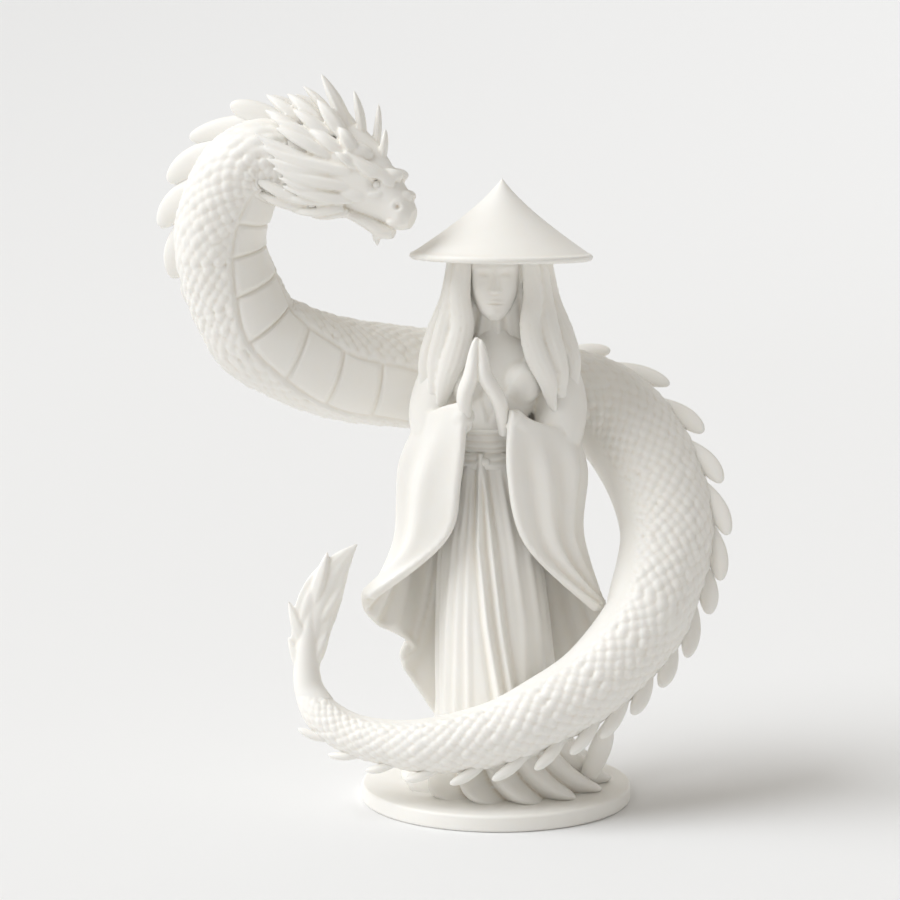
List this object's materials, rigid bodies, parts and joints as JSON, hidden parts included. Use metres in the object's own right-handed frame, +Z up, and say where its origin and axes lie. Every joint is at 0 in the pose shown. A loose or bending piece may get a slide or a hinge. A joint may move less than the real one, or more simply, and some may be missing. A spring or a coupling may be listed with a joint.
{
  "type": "dragon statue",
  "caption": "White resin statue of a scaled dragon coiled round a robed, praying maiden in a conical hat, cast in one piece with a thin round base.",
  "frame": {"origin": "centre of the round base's underside", "axes": "+Z up from the base to the dragon's horns; the maiden faces -Y, and the dragon's head and neck are on the -X side"},
  "size_m": [0.1027, 0.0508, 0.13],
  "materials": {
    "white_resin": "warm off-white cast resin, satin matt"
  },
  "bodies": {
    "root": {"dragon_statue": "white_resin"}
  },
  "joints": []
}
